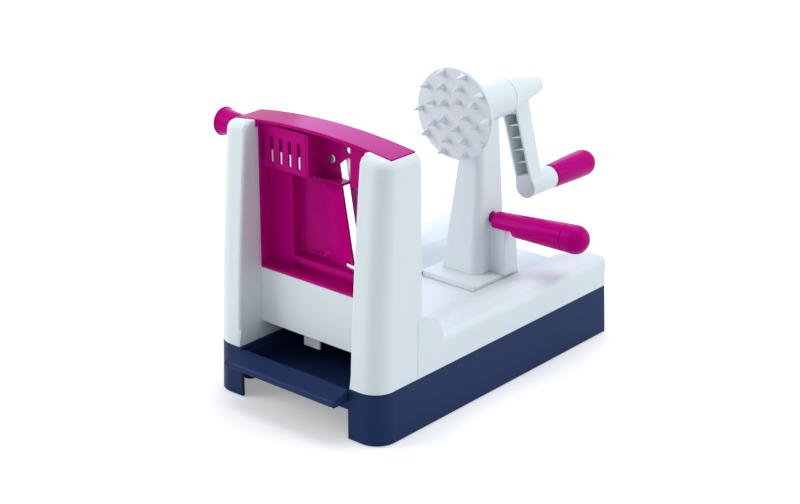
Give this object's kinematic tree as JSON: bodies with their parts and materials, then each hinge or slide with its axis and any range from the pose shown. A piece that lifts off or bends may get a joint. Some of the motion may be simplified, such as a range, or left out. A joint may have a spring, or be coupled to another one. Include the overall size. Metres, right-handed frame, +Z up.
{
  "type": "spiralizer with crank",
  "caption": "Hand-cranked vegetable spiralizer: base with collecting tray, blade insert between pillars, and a sliding carriage with a spiked disc and crank.",
  "frame": {"origin": "on the table under the middle of the whole object's box at rest", "axes": "+X to the right, on the push lever's side; +Y to the back, towards the crank; +Z up"},
  "size_m": [0.2322, 0.382, 0.245],
  "materials": {
    "navy_plastic": "smooth moulded, slightly glossy",
    "white_plastic": "smooth moulded, satin gloss",
    "magenta_plastic": "translucent deep magenta, glossy",
    "blade_steel": "ground and brushed",
    "pin_steel": "turned",
    "screw_steel": "zinc plated",
    "bush_plastic": "plain moulded, dull",
    "foot_rubber": "dull soft rubber"
  },
  "bodies": {
    "base": {"base_tub": "navy_plastic", "rubber_feet": "foot_rubber", "housing_screws": "screw_steel", "upper_housing": "white_plastic"},
    "tray": {"tray": "navy_plastic"},
    "insert": {"insert_frame": "magenta_plastic", "insert_knob": "magenta_plastic", "comb_carrier": "magenta_plastic", "comb_blade": "blade_steel", "straight_blade": "blade_steel", "blade_screws": "screw_steel", "centre_pin": "pin_steel"},
    "carriage": {"carriage_foot": "white_plastic", "column": "white_plastic", "column_screws": "screw_steel", "front_bush": "bush_plastic", "rear_bush": "bush_plastic", "lever_arm": "magenta_plastic", "lever_underside": "magenta_plastic", "lever_end_cap": "magenta_plastic", "lever_screw": "screw_steel"},
    "crank": {"crank_shaft": "pin_steel", "prong_disc": "white_plastic", "disc_pin": "pin_steel", "thrust_washer": "pin_steel", "crank_arm": "white_plastic", "grip_pin": "pin_steel", "grip_washer": "bush_plastic"},
    "grip": {"crank_grip": "magenta_plastic"}
  },
  "joints": [
    {"name": "tray_slide", "type": "slide", "parent": "base", "child": "tray", "axis": [0, -1, 0], "range_m": [0, 0.14]},
    {"name": "insert_lift", "type": "slide", "parent": "base", "child": "insert", "axis": [0, 0, 1], "range_m": [0, 0.13]},
    {"name": "carriage_slide", "type": "slide", "parent": "base", "child": "carriage", "axis": [0, -1, 0], "range_m": [-0.045, 0.114]},
    {"name": "crank_spin", "type": "hinge", "parent": "carriage", "child": "crank", "pos_m": [0.00141, 0.09005, 0.2055], "axis": [0, 1, 0], "continuous": true},
    {"name": "grip_spin", "type": "hinge", "parent": "crank", "child": "grip", "pos_m": [0.02447, 0.12945, 0.12764], "axis": [0, 1, 0], "continuous": true}
  ]
}
